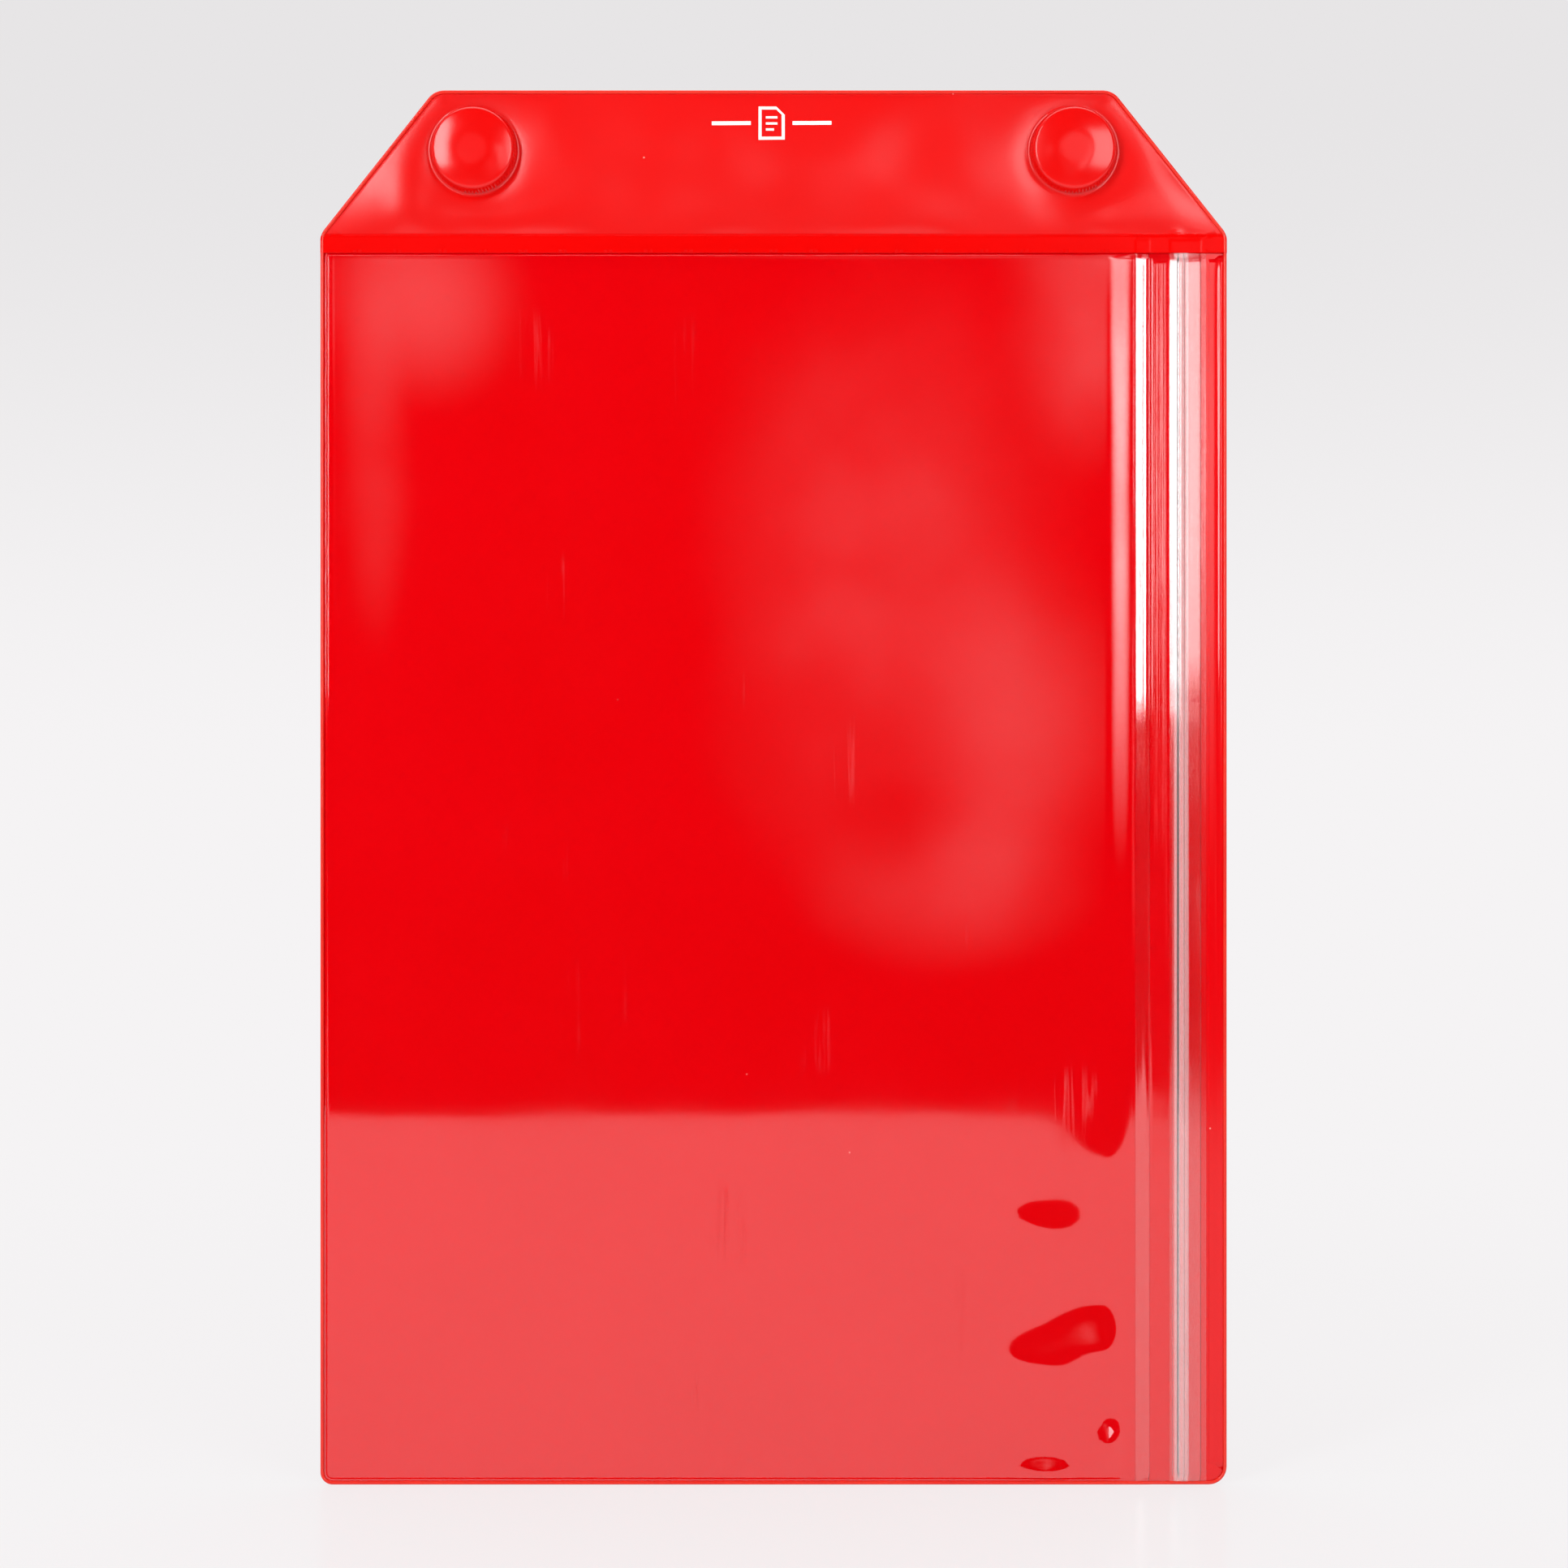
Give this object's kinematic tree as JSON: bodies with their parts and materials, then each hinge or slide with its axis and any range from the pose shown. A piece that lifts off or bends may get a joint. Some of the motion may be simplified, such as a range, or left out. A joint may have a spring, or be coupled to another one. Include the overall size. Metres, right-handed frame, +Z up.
{
  "type": "magnetic document pocket",
  "caption": "Portrait document pocket: red plastic back sheet, clear front film, press-to-close strip down one side, and magnets in domes in its header.",
  "frame": {"origin": "on the back face, midway between the two magnets' centres", "axes": "+X to the right seen from the front, +Y out of the back face into the steel surface that the pocket hangs on, +Z up"},
  "size_m": [0.235, 0.006, 0.3615],
  "materials": {
    "red_pvc": "satin to gloss flexible PVC sheet",
    "clear_film": "clear glossy flexible PVC film, not glass",
    "clear_strip": "milky clear press-to-close strip",
    "cap_plastic": "moulded magnet cap",
    "plated_steel": "zinc plated magnet cup",
    "magnet": "nickel plated magnet disc"
  },
  "bodies": {
    "root": {"back_sheet": "red_pvc", "header_sheet": "red_pvc", "window_film": "clear_film", "zip_back_half": "clear_strip", "zip_front_half": "clear_strip", "magnet_cap_left": "cap_plastic", "magnet_cup_left": "plated_steel", "magnet_disc_left": "magnet", "magnet_cap_right": "cap_plastic", "magnet_cup_right": "plated_steel", "magnet_disc_right": "magnet"}
  },
  "joints": []
}
